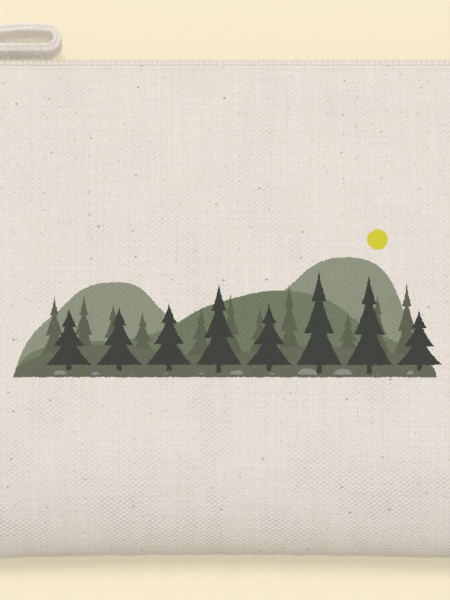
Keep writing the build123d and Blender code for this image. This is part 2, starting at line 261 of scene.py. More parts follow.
@dataclass(frozen=True)
class Weave:
    """Plain weave: spacing of its threads in millimetres, and how far each kind of relief stands out.

    Heights are shares of the cloth's relief, and scales of noise are cells per metre.
    """

    warp: float = 0.80
    weft: float = 0.61
    wander: float = 2.4  # how far the threads stray, in radians of their spacing
    wander_scale: float = 120.0
    crossings: tuple[float, float] = (0.05, 0.4)  # least and most height, by the tension
    tension: tuple[float, float] = (0.32, 0.68)  # noise where the upright threads lead, or the crossings
    tension_scale: float = 62.0
    eased: float = 0.11  # added to the crossings' height at the bottom seam
    eased_run: float = 52.0  # and no more this deep into the cloth, mm
    falling: float = 0.5  # the falling slant's height, as a share of the rising one's
    warp_height: float = 0.56
    warp_loss: float = 0.7  # share of the crossings' height that the upright threads lose
    weft_height: float = 0.14
    lint: float = 1.1  # height of slubs and stray fibres
    lint_scale: float = 1250.0

    def nodes(self, tree: Tree, place: Feed) -> Node:
        """Draw the threads as a height.

        Warp threads are humps across x and weft threads are humps across y. A chequer of one cell per
        crossing is added to them, where one thread lies over the other. The chequer is the difference of two
        families of slanting waves. A slow noise lets one family lead here and gives way to the upright
        threads there, as uneven tension does. The crossings also stand out towards the bottom seam, where the
        cloth is eased in. A fine noise on top stands for lint and slubs.

        Args:
            tree: node tree that they go into.
            place: the place on the cloth, in metres.

        Returns:
            The node that gives the height, from about -0.6 to 1.2.
        """
        split = add_node(tree, "SeparateXYZ", {0: place})
        stray, slow, fine = (
            add_node(
                tree,
                "TexNoise",
                {"Vector": place, "Scale": scale, "Detail": detail, "Roughness": rough},
                noise_dimensions="2D",
            )
            for scale, detail, rough in (
                (self.wander_scale, 3.0, 0.6),
                (self.tension_scale, 2.0, 0.5),
                (self.lint_scale, 2.0, 0.7),
            )
        )
        jitter = add_node(tree, "Math", {0: stray, 1: self.wander}, operation="MULTIPLY")
        turns = [
            add_node(tree, "Math", {0: axis, 1: math.pi / (pitch * MM), 2: jitter}, operation="MULTIPLY_ADD")
            for axis, pitch in zip(split.outputs, (self.warp, self.weft))
        ]
        sines = [add_node(tree, "Math", {0: turn}, operation="SINE") for turn in turns]
        humps = [add_node(tree, "Math", {0: sine}, operation="ABSOLUTE") for sine in sines]
        both = dict(enumerate(turns))
        phases = [add_node(tree, "Math", both, operation=kind) for kind in ("SUBTRACT", "ADD")]
        slants = [add_node(tree, "Math", {0: phase}, operation="COSINE") for phase in phases]
        ranges = zip(("From Min", "From Max", "To Min", "To Max"), self.tension + self.crossings)
        lead = add_node(tree, "MapRange", {"Value": slow, **dict(ranges)})
        fading = {"From Max": self.eased_run * MM, "To Min": self.eased, "To Max": 0.0}
        eased = add_node(tree, "MapRange", {"Value": split.outputs[1], **fading})
        slant = add_node(tree, "Math", {0: lead, 1: eased}, operation="ADD")
        follow = add_node(tree, "Math", {0: slant, 1: self.falling}, operation="MULTIPLY")
        upright = add_node(
            tree, "Math", {0: slant, 1: -self.warp_loss, 2: self.warp_height}, operation="MULTIPLY_ADD"
        )
        rising = add_node(tree, "Math", {0: slants[0], 1: slant}, operation="MULTIPLY")
        falling = add_node(tree, "Math", {0: slants[1], 1: follow}, operation="MULTIPLY")
        chequer = add_node(tree, "Math", {0: rising, 1: falling}, operation="SUBTRACT")
        warps = add_node(tree, "Math", {0: humps[0], 1: upright, 2: chequer}, operation="MULTIPLY_ADD")
        wefts = add_node(tree, "Math", {0: humps[1], 1: self.weft_height, 2: warps}, operation="MULTIPLY_ADD")
        even = add_node(tree, "Math", {0: fine, 1: 0.5}, operation="SUBTRACT")
        return add_node(tree, "Math", {0: even, 1: self.lint, 2: wefts}, operation="MULTIPLY_ADD")


@dataclass(frozen=True)
class TreeRow:
    """One row of three-tiered pines in the printed design, in millimetres."""

    pitch: float
    shift: float
    foot: float
    tall: float
    first: float
    last: float
    colour: str


@dataclass(frozen=True)
class Hill:
    """Skyline of one range of hills, as shares of the print's width and height, and its colour."""

    line: tuple[tuple[float, float], ...]
    colour: str


@dataclass(frozen=True)
class ForestPrint:
    """Screen print of pines on low hills: a plain generic motif in olive, black, grey and a spot of yellow.

    Water-based ink sinks into the canvas, so its edges follow the threads and the weave shows through it.
    Places and sizes are in millimetres, and a tree's widths and heights are shares of its cell and of its
    own height.
    """

    left: float = -53.3
    right: float = 53.3
    low: float = -20.9
    high: float = 17.8
    bleed: float = 0.6  # the ink creeps this far along the fibres
    bleed_scale: float = 1300.0
    hills: tuple[Hill, ...] = (
        Hill(
            ((0, 0), (0.1, 0.42), (0.25, 0.62), (0.42, 0.34), (0.6, 0.5), (0.8, 0.78), (0.93, 0.4), (1, 0)),
            "#8E937F",
        ),
        Hill(
            ((0, 0), (0.08, 0.2), (0.3, 0.26), (0.5, 0.5), (0.66, 0.56), (0.85, 0.3), (0.95, 0.16), (1, 0)),
            "#6F795F",
        ),
    )
    ground: Hill = Hill(
        ((0, 0), (0.03, 0.1), (0.2, 0.21), (0.45, 0.14), (0.7, 0.2), (0.97, 0.1), (1, 0)), "#646955"
    )
    rows: tuple[TreeRow, ...] = (
        TreeRow(7.4, 0.31, -15.3, 17.0, -45.0, 46.0, "#5B604D"),
        TreeRow(12.6, 0.62, -17.8, 22.5, -49.0, 49.0, "#363932"),
    )
    tree_size: tuple[float, float] = (0.62, 0.5)  # the least, and what chance adds to it
    tiers: float = 3.0
    tier_foot: float = 0.46  # half width at a tier's foot
    tier_loss: float = 0.24  # lost on the way up to the next tier
    trunk_half: float = 0.05
    trunk: tuple[float, float] = (-0.04, 0.055)  # middle and half of its height
    sun: tuple[float, float, float] = (38.5, 13.8, 2.6)
    sun_colour: str = "#D7CD2D"
    stone_pitch: float = 8.9
    stone_shift: float = 0.17
    stone_foot: float = -20.2
    stone_squash: float = 0.62
    stone_size: tuple[float, float] = (0.2, 1.5)  # least radius, and what chance adds to it
    stone_margin: float = 6.0
    stone_colour: str = "#8F9088"

    def over(self, tree: Tree, below: Feed, mask: Feed, colour: str) -> Node:
        """Lay one ink over what is printed so far.

        Args:
            tree: node tree that it goes into.
            below: colour so far.
            mask: 1 where the ink is.
            colour: hex colour of the ink.

        Returns:
            The node that gives the new colour.
        """
        return add_node(tree, "Mix", {0: mask, 6: below, 7: linear(colour)}, data_type="RGBA")

    def skyline(self, tree: Tree, x: Feed, y: Feed, hill: Hill) -> Node:
        """Mark all that lies under a hill's line: the print's height there is less than the curve's.

        Args:
            tree: node tree that it goes into.
            x: place along the print, as a share of its width.
            y: height in the print, as a share of it.
            hill: the range of hills.

        Returns:
            The node that gives 1 under the line, between the print's foot and its sides.
        """
        curve = add_node(tree, "FloatCurve", {"Value": x})
        points = curve.mapping.curves[0].points
        for place, height in hill.line[1:-1]:
            points.new(place, height)
        points[0].location, points[-1].location = hill.line[0], hill.line[-1]
        curve.mapping.update()
        under = add_node(tree, "Math", {0: y, 1: curve}, operation="LESS_THAN")
        above = add_node(tree, "Math", {0: y, 1: 0.0}, operation="GREATER_THAN")
        return add_node(tree, "Math", {0: under, 1: above}, operation="MULTIPLY")

    def cells(self, tree: Tree, x: Feed, pitch: float, shift: float) -> tuple[Node, Node, Node]:
        """Cut the print into cells of one pitch along the zip.

        Args:
            tree: node tree that they go into.
            x: place along the zip, in millimetres.
            pitch: width of a cell.
            shift: the cells start this share of a pitch before x is nothing.

        Returns:
            The nodes that give the cell's number, its random number and the place in it, from -0.5 to 0.5.
        """
        cell = add_node(tree, "Math", {0: x, 1: 1 / pitch, 2: shift}, operation="MULTIPLY_ADD")
        number = add_node(tree, "Math", {0: cell}, operation="FLOOR")
        chance = add_node(tree, "TexWhiteNoise", {"W": number}, noise_dimensions="1D")
        part = add_node(tree, "Math", {0: cell}, operation="FRACT")
        aside = add_node(tree, "Math", {0: part, 1: 0.5}, operation="SUBTRACT")
        return number, chance, aside

    def pines(self, tree: Tree, x: Feed, y: Feed, row: TreeRow) -> Node:
        """Mark a row of pines.

        In a cell, height is measured in trees from the foot, each tree a little taller or shorter by its
        cell's number, and half the width shrinks with height and jumps out again at each of the tiers. A thin
        trunk stands below.

        Args:
            tree: node tree that it goes into.
            x: place along the zip, in millimetres.
            y: place across it, in millimetres.
            row: the row's sizes.

        Returns:
            The node that gives 1 on a tree.
        """
        number, chance, aside = self.cells(tree, x, row.pitch, row.shift)
        least, more = self.tree_size
        size = add_node(tree, "Math", {0: chance, 1: more, 2: least}, operation="MULTIPLY_ADD")
        away = add_node(tree, "Math", {0: aside}, operation="ABSOLUTE")
        risen = {0: y, 1: 1 / row.tall, 2: -row.foot / row.tall}
        up = add_node(tree, "Math", risen, operation="MULTIPLY_ADD")
        height = add_node(tree, "Math", {0: up, 1: size}, operation="DIVIDE")
        tier = add_node(tree, "Math", {0: height, 1: self.tiers}, operation="MULTIPLY")
        step = add_node(tree, "Math", {0: tier}, operation="FRACT")
        spread = {0: step, 1: -self.tier_loss, 2: self.tier_foot}
        slack = add_node(tree, "Math", spread, operation="MULTIPLY_ADD")
        left = add_node(tree, "Math", {0: 1.0, 1: height}, operation="SUBTRACT")
        half = add_node(tree, "Math", {0: left, 1: slack}, operation="MULTIPLY")
        narrow = add_node(tree, "Math", {0: away, 1: half}, operation="LESS_THAN")
        stands = add_node(tree, "Math", {0: height, 1: 0.0}, operation="GREATER_THAN")
        crown = add_node(tree, "Math", {0: narrow, 1: stands}, operation="MULTIPLY")
        thin = add_node(tree, "Math", {0: away, 1: self.trunk_half}, operation="LESS_THAN")
        deep = add_node(tree, "Math", {0: height, 1: self.trunk[0], 2: self.trunk[1]}, operation="COMPARE")
        trunk = add_node(tree, "Math", {0: thin, 1: deep}, operation="MULTIPLY")
        either = add_node(tree, "Math", {0: crown, 1: trunk}, operation="MAXIMUM")
        centre = {0: number, 1: row.pitch, 2: (0.5 - row.shift) * row.pitch}
        middle = add_node(tree, "Math", centre, operation="MULTIPLY_ADD")
        reach = {0: middle, 1: (row.first + row.last) / 2, 2: (row.last - row.first) / 2}
        inside = add_node(tree, "Math", reach, operation="COMPARE")
        return add_node(tree, "Math", {0: either, 1: inside}, operation="MULTIPLY")

    def stones(self, tree: Tree, x: Feed, y: Feed) -> Node:
        """Mark a row of boulders: the squashed distance to the foot of each cell is less than its radius.

        Args:
            tree: node tree that it goes into.
            x: place along the zip, in millimetres.
            y: place across it, in millimetres.

        Returns:
            The node that gives 1 on the half of a boulder that stands above its foot.
        """
        _, chance, aside = self.cells(tree, x, self.stone_pitch, self.stone_shift)
        squashed = {0: aside, 1: self.stone_squash * self.stone_pitch}
        across = add_node(tree, "Math", squashed, operation="MULTIPLY")
        up = add_node(tree, "Math", {0: y, 1: self.stone_foot}, operation="SUBTRACT")
        place = add_node(tree, "CombineXYZ", {0: across, 1: up})
        far = add_node(tree, "VectorMath", {0: place}, operation="LENGTH")
        least, more = self.stone_size
        radius = add_node(tree, "Math", {0: chance, 1: more, 2: least}, operation="MULTIPLY_ADD")
        near = add_node(tree, "Math", {0: far, 1: radius}, operation="LESS_THAN")
        above = add_node(tree, "Math", {0: up, 1: 0.0}, operation="GREATER_THAN")
        stone = add_node(tree, "Math", {0: near, 1: above}, operation="MULTIPLY")
        reach = {0: x, 1: 0.0, 2: self.right - self.stone_margin}
        inside = add_node(tree, "Math", reach, operation="COMPARE")
        return add_node(tree, "Math", {0: stone, 1: inside}, operation="MULTIPLY")

    def nodes(self, tree: Tree, cloth: Feed) -> Node:
        """Print the whole design on the cloth's colour.

        Args:
            tree: node tree that it goes into.
            cloth: colour of the bare cloth.

        Returns:
            The node that gives the printed colour.
        """
        place = add_node(tree, "TexCoord").outputs["Object"]
        grain = add_node(tree, "TexNoise", {"Vector": place, "Scale": self.bleed_scale, "Detail": 1.0})
        centred = {0: grain.outputs["Color"], 1: (0.5, 0.5, 0.5)}
        creep = add_node(tree, "VectorMath", centred, operation="SUBTRACT")
        bleed = add_node(tree, "VectorMath", {0: creep, "Scale": self.bleed}, operation="SCALE")
        scaled = add_node(tree, "VectorMath", {0: place, "Scale": 1 / MM}, operation="SCALE")
        moved = add_node(tree, "VectorMath", {0: scaled, 1: bleed}, operation="ADD")
        x, y, _ = add_node(tree, "SeparateXYZ", {0: moved}).outputs
        along, up = (
            add_node(tree, "MapRange", {"Value": value, "From Min": first, "From Max": last}, clamp=False)
            for value, first, last in ((x, self.left, self.right), (y, self.low, self.high))
        )
        flat = add_node(tree, "CombineXYZ", {0: x, 1: y})
        sun_far = add_node(tree, "VectorMath", {0: flat, 1: (*self.sun[:2], 0.0)}, operation="DISTANCE")
        sun = add_node(tree, "Math", {0: sun_far, 1: self.sun[2]}, operation="LESS_THAN")
        inks = [(sun, self.sun_colour)]
        inks += [(self.skyline(tree, along, up, hill), hill.colour) for hill in self.hills]
        inks.append((self.pines(tree, x, y, self.rows[0]), self.rows[0].colour))
        inks.append((self.skyline(tree, along, up, self.ground), self.ground.colour))
        inks.append((self.pines(tree, x, y, self.rows[1]), self.rows[1].colour))
        inks.append((self.stones(tree, x, y), self.stone_colour))
        for mask, colour in inks:
            cloth = self.over(tree, cloth, mask, colour)
        return cloth


@dataclass(frozen=True)
class Specks:
    """Bits of seed hull of one size in the yarn."""

    cell: float  # each cell of this size has one speck at most, mm
    radius: float  # largest radius, mm
    kept: float  # a cell keeps its speck if its random number is over this
    most: float  # strength of the darkest one


@dataclass(frozen=True)
class NaturalCanvas:
    """Unbleached cotton canvas, plain woven of thick and thin yarn, with bits of seed hull left in.

    The eye sees a warm off-white, matt and even, with a fine grid of threads, thicker yarns here and there,
    and a few brown specks.
    """

    name: str = "natural_cotton_canvas"
    colour: str = "#E6DDD2"
    pale: str = "#ECE4DA"
    speck: str = "#8C8072"
    speck_core: float = 0.35  # a speck is at full strength within this share of its radius
    speck_width: float = 0.72  # its size across the zip, as a share of its length along it
    hulls: tuple[Specks, ...] = (Specks(7.6, 0.36, 0.38, 0.78), Specks(2.7, 0.32, 0.42, 0.32))
    warp_slub: tuple[float, float] = (1.1, 34.0)  # size of a thick stretch of yarn along x and y, mm
    weft_slub: tuple[float, float] = (26.0, 0.9)
    slub_height: float = 0.55  # as a share of the relief
    slub_tint: tuple[float, float] = (0.6, 1.4)  # sum of both noises at the colour, and at the pale one
    relief: float = 0.12  # threads stand this far out, mm
    gap: tuple[float, float] = (-0.25, 0.8)  # height deep between the threads, and on top of them
    painted_gap_shade: tuple[float, float] = (0.9, 1.005)  # painted shade: shares of the cloth's colour deep in the gaps and on top of the threads
    roughness: float = 0.94
    fuzz: float = 0.12  # sheen of loose fibres
    through: float = 0.0  # share of the light that goes on inside the cloth
    depth: float = 7.0  # and how far, mm
    painted_glow: float = 0.0  # painted light: emission that brightens the strip's shaded undersides and crevices
    painted_glow_colour: str = "#DEDAD4"  # colour of that painted light, a cool off-white
    weave: Weave = Weave()
    design: ForestPrint | None = None

    def specks(self, tree: Tree, place: Feed, hulls: Specks) -> Node:
        """Scatter seed specks: one point per cell of a Voronoi pattern, and only some cells keep theirs.

        Args:
            tree: node tree that it goes into.
            place: the place on the cloth, in metres.
            hulls: size, number and strength of the specks.

        Returns:
            The node that gives the strength of the speck, 0 where there is none.
        """
        squeeze = add_node(tree, "Mapping", {"Vector": place, "Scale": (self.speck_width, 1.0, 1.0)})
        cells = {"Vector": squeeze, "Scale": 1 / (hulls.cell * MM)}
        spots = add_node(tree, "TexVoronoi", cells, voronoi_dimensions="2D")
        chance = add_node(tree, "SeparateColor", {0: spots.outputs["Color"]})
        reach = hulls.radius / hulls.cell
        near = add_node(
            tree,
            "MapRange",
            {"Value": spots, "From Min": reach, "From Max": self.speck_core * reach},
            interpolation_type="SMOOTHSTEP",
        )
        strong = add_node(tree, "MapRange", {"Value": chance, "From Min": hulls.kept})
        spot = add_node(tree, "Math", {0: near, 1: strong}, operation="MULTIPLY")
        return add_node(tree, "Math", {0: spot, 1: hulls.most}, operation="MULTIPLY")

    def yarns(self, tree: Tree, place: Feed, stretch: tuple[float, float]) -> Node:
        """Draw thick and thin yarns: noise that is one thread wide and many threads long.

        Args:
            tree: node tree that it goes into.
            place: the place on the cloth, in metres.
            stretch: size of the noise along x and y, in millimetres.

        Returns:
            The node that gives the noise, from 0 to 1.
        """
        scale = (1 / (stretch[0] * MM), 1 / (stretch[1] * MM), 1.0)
        shaped = add_node(tree, "Mapping", {"Vector": place, "Scale": scale})
        return add_node(tree, "TexNoise", {"Vector": shaped, "Scale": 1.0}, noise_dimensions="2D")

    def build(self) -> Material:
        """Make the material.

        Returns:
            The material, which reads the piece's own cloth map and, for the print, Object coordinates.
        """
        material, tree = new_material(self.name)
        place = add_node(tree, "UVMap", uv_map="Cloth").outputs[0]
        height = self.weave.nodes(tree, place)
        warp, weft = (self.yarns(tree, place, size) for size in (self.warp_slub, self.weft_slub))
        both = add_node(tree, "Math", {0: warp, 1: weft}, operation="ADD")
        darkest, palest = self.slub_tint
        tint = add_node(tree, "MapRange", {"Value": both, "From Min": darkest, "From Max": palest})
        colours = {6: linear(self.colour), 7: linear(self.pale)}
        cloth = add_node(tree, "Mix", {0: tint, **colours}, data_type="RGBA")
        # the ink covers the specks
        for hulls in self.hulls:
            share = self.specks(tree, place, hulls)
            cloth = add_node(tree, "Mix", {0: share, 6: cloth, 7: linear(self.speck)}, data_type="RGBA")
        if self.design is not None:
            cloth = self.design.nodes(tree, cloth)
        # painted shade: the gaps between the threads are darkened by their depth
        ranges = zip(("From Min", "From Max", "To Min", "To Max"), self.gap + self.painted_gap_shade)
        shade = add_node(tree, "MapRange", {"Value": height, **dict(ranges)})
        cloth = add_node(tree, "Mix", {0: 1.0, 6: cloth, 7: shade}, data_type="RGBA", blend_type="MULTIPLY")
        lift = add_node(tree, "Math", {0: both, 1: self.slub_height, 2: height}, operation="MULTIPLY_ADD")
        bump = add_node(tree, "Bump", {"Strength": 1.0, "Distance": self.relief * MM, "Height": lift})
        fibre = add_node(
            tree,
            "BsdfPrincipled",
            {
                "Base Color": cloth,
                "Roughness": self.roughness,
                "Sheen Weight": self.fuzz,
                "Sheen Roughness": 0.6,
                "Subsurface Weight": self.through,
                "Subsurface Radius": (0.85, 1.0, 1.15),
                "Subsurface Scale": self.depth * MM,
                # painted light: the cloth glows by itself, which brightens the faces that lie in shade
                "Emission Color": linear(self.painted_glow_colour),
                "Emission Strength": self.painted_glow,
                "Normal": bump,
            },
        )
        add_node(tree, "OutputMaterial", {"Surface": fibre})
        return material


@dataclass(frozen=True)
class WovenTape:
    """Polyester zip tape in a fine herringbone, piece-dyed cream: smooth, close and slightly silky.

    Ribs slant one way and then the other in bands along the zip. Lengths are in millimetres.
    """

    name: str = "cream_zip_tape"
    colour: str = "#E3DCD4"
    rib: float = 0.5
    band: float = 2.4
    relief: float = 0.05
    painted_groove_shade: float = 0.9  # painted shade between two ribs, as a share of the tape's colour

    def build(self) -> Material:
        """Make the material, on Object coordinates.

        The rib's phase runs along x plus the distance across, which is folded back at each band.

        Returns:
            The material.
        """
        material, tree = new_material(self.name)
        split = add_node(tree, "SeparateXYZ", {0: add_node(tree, "TexCoord").outputs["Object"]}).outputs
        across = add_node(tree, "Math", {0: split[1], 1: split[2]}, operation="ADD")
        fold = add_node(tree, "Math", {0: across, 1: self.band * MM}, operation="PINGPONG")
        slant = add_node(tree, "Math", {0: split[0], 1: fold}, operation="ADD")
        phase = add_node(tree, "Math", {0: slant, 1: 2 * math.pi / (self.rib * MM)}, operation="MULTIPLY")
        rib = add_node(tree, "Math", {0: phase}, operation="SINE")
        # painted shade: the grooves between the ribs are darkened
        tint = add_node(tree, "MapRange", {"Value": rib, "From Min": -1.0, "To Min": self.painted_groove_shade})
        shaded = {0: 1.0, 6: linear(self.colour), 7: tint}
        colour = add_node(tree, "Mix", shaded, data_type="RGBA", blend_type="MULTIPLY")
        bump = add_node(tree, "Bump", {"Distance": self.relief * MM, "Height": rib})
        silky = {"Base Color": colour, "Roughness": 0.7, "Sheen Weight": 0.1, "Normal": bump}
        add_node(tree, "OutputMaterial", {"Surface": add_node(tree, "BsdfPrincipled", silky)})
        return material


@dataclass(frozen=True)
class CoilPlastic:
    """Polyester monofilament, wound and heat-set into a coil, dyed cream: smooth, a little shiny and waxy.

    The dye is a little uneven, so some turns are warmer than others. Sewing thread is made the same way, but
    dull. Scales of noise are cells per metre.
    """

    name: str = "cream_coil_filament"
    colour: str = "#E9E1D8"
    deep: str = "#E0D7CD"
    roughness: float = 0.42
    dye_scale: float = 260.0
    skin_scale: float = 2600.0
    relief: float = 0.01  # mm

    def build(self) -> Material:
        """Make the material, with dye a little uneven from turn to turn, on Object coordinates.

        Returns:
            The material.
        """
        material, tree = new_material(self.name)
        place = add_node(tree, "TexCoord").outputs["Object"]
        uneven = add_node(tree, "TexNoise", {"Vector": place, "Scale": self.dye_scale, "Detail": 2.0})
        colours = {6: linear(self.colour), 7: linear(self.deep)}
        colour = add_node(tree, "Mix", {0: uneven, **colours}, data_type="RGBA")
        fine = add_node(tree, "TexNoise", {"Vector": place, "Scale": self.skin_scale, "Detail": 1.0})
        bump = add_node(tree, "Bump", {"Distance": self.relief * MM, "Height": fine})
        waxy = {"Base Color": colour, "Roughness": self.roughness, "IOR": 1.57, "Normal": bump}
        add_node(tree, "OutputMaterial", {"Surface": add_node(tree, "BsdfPrincipled", waxy)})
        return material


class Plating(Enum):
    """What a metal piece of the zip is made of and how it is finished: colour, worn colour and roughness."""

    NICKEL = ("nickel_plated_zinc", "#C9C4BB", "#A9A195", 0.3)
    ALUMINIUM = ("pressed_aluminium_clip", "#CFCCC6", "#B2AEA6", 0.38)


@dataclass(frozen=True)
class ZipMetal:
    """Die-cast or pressed zip metal, tumbled and plated: bright, with soft edges and faint handling marks.

    Scales of noise are cells per metre.
    """

    plating: Plating
    patch_scale: float = 420.0
    grain_scale: float = 3800.0
    relief: float = 0.01  # mm
    duller: tuple[float, float] = (-0.06, 0.12)  # added to the roughness, where bright and where rubbed

    def build(self) -> Material:
        """Make the material: rubbed patches are duller, and tumbling leaves a fine grain.

        Returns:
            The material, which reads Object coordinates.
        """
        name, bright, worn, roughness = self.plating.value
        material, tree = new_material(name)
        place = add_node(tree, "TexCoord").outputs["Object"]
        handled = {"Vector": place, "Scale": self.patch_scale, "Detail": 4.0, "Roughness": 0.6}
        patches = add_node(tree, "TexNoise", handled)
        rubbed = add_node(tree, "MapRange", {"Value": patches, "From Min": 0.45, "From Max": 0.75})
        colour = add_node(tree, "Mix", {0: rubbed, 6: linear(bright), 7: linear(worn)}, data_type="RGBA")
        least, most = (roughness + change for change in self.duller)
        dull = add_node(tree, "MapRange", {"Value": patches, "To Min": least, "To Max": most})
        grain = add_node(tree, "TexNoise", {"Vector": place, "Scale": self.grain_scale, "Detail": 2.0})
        bump = add_node(tree, "Bump", {"Strength": 0.5, "Distance": self.relief * MM, "Height": grain})
        metal = {"Base Color": colour, "Metallic": 1.0, "Roughness": dull, "Normal": bump}
        add_node(tree, "OutputMaterial", {"Surface": add_node(tree, "BsdfPrincipled", metal)})
        return material


# --- studio ---------------------------------------------------------------------------------------


@dataclass
class Studio:
    """Camera straight above the pouch, soft daylight from the zip's side, and a plain pale table."""

    distance: float = 0.8  # camera to the zip's level, m
    level: float = 0.009  # height of that level, m
    scale: float = 3.9  # image rows per millimetre at that level
    middle: tuple[float, float] = (0.0, -0.001445)
    image: tuple[int, int] = (450, 600)
    sensor: float = 36.0  # mm
    far: float = 20.0  # the camera sees this far, m
    backdrop: str = "#F6EBCD"
    sky: float = 0.47
    sun: float = 0.55  # share of the light that comes from the window's side
    sun_lean: float = 23.0
    sun_turn: float = -8.0
    sun_size: float = 20.0
    floor_own: float = 0.5  # share of the table's colour that shadows don't dim
    floor_half: float = 3000.0  # mm

    def camera(self) -> None:
        """Set the camera: its lens takes the image's height in millimetres at the zip's level."""
        lens = bpy.data.cameras.new("camera")
        lens.sensor_fit = "VERTICAL"
        lens.sensor_height = self.sensor
        lens.lens = self.sensor * self.distance / (self.image[1] / self.scale * MM)
        lens.clip_end = self.far
        camera = bpy.data.objects.new("camera", lens)
        camera.location = (*self.middle, self.level + self.distance)
        bpy.context.scene.collection.objects.link(camera)
        bpy.context.scene.camera = camera

    def plain_light(self) -> None:
        """Light the table at the level where a colour renders as it is written.

        A sun's strength times the cosine of its lean over pi, plus the sky's strength, is about one.
        """
        lamp = bpy.data.lights.new("window", "SUN")
        lamp.energy = self.sun * math.pi / math.cos(math.radians(self.sun_lean))
        lamp.angle = math.radians(self.sun_size)
        window = bpy.data.objects.new("window", lamp)
        window.rotation_euler = (-math.radians(self.sun_lean), 0.0, math.radians(self.sun_turn))
        bpy.context.scene.collection.objects.link(window)
        world = bpy.data.worlds.new("studio")
        world.use_nodes = True
        tree = world.node_tree
        tree.nodes.clear()
        soft = add_node(tree, "Background", {"Color": linear("#FFFFFF"), "Strength": self.sky})
        seen = add_node(tree, "Background", {"Color": linear(self.backdrop), "Strength": 1.0})
        direct = self.either_ray(tree, "Is Camera Ray", "Is Transmission Ray")
        mix = add_node(tree, "MixShader", {0: direct, 1: soft, 2: seen})
        add_node(tree, "OutputWorld", {"Surface": mix})
        bpy.context.scene.world = world

    def either_ray(self, tree: Tree, first: str, second: str) -> Node:
        """Mark two kinds of ray.

        Args:
            tree: node tree that it goes into.
            first: name of the Light Path output for one kind.
            second: name of the output for the other.

        Returns:
            The node that gives 1 on either kind.
        """
        light = add_node(tree, "LightPath").outputs
        return add_node(tree, "Math", {0: light[first], 1: light[second]}, operation="MAXIMUM")

    def table(self) -> None:
        """Lay the table: pale paper that keeps the pouch's shadow, part of its colour seen as its own."""
        corners = np.array([[-1, -1, 0], [1, -1, 0], [1, 1, 0], [-1, 1, 0]], float) * self.floor_half
        floor = mesh_piece("table", corners, [np.array([[0, 1, 2, 3]])])
        material, tree = new_material("pale_paper")
        seen = self.either_ray(tree, "Is Camera Ray", "Is Glossy Ray")
        share = add_node(tree, "Math", {0: seen, 1: self.floor_own}, operation="MULTIPLY")
        paper = add_node(tree, "BsdfDiffuse", {"Color": linear(self.backdrop)})
        own = add_node(tree, "Emission", {"Color": linear(self.backdrop), "Strength": 1.0})
        mix = add_node(tree, "MixShader", {0: share, 1: paper, 2: own})
        add_node(tree, "OutputMaterial", {"Surface": mix})
        floor.data.materials.append(material)

    def build(self) -> None:
        """Set up the whole studio."""
        bpy.context.scene.view_settings.view_transform = "Standard"
        self.camera()
        self.plain_light()
        self.table()


# --- canvas body ----------------------------------------------------------------------------------


class Side(Enum):
    """The two panels, by the sign of the direction in which they bulge."""

    FRONT = 1
    BACK = -1

    def pick(self, front: Any, back: Any) -> Any:
        """Choose this side's value."""
        return front if self is Side.FRONT else back


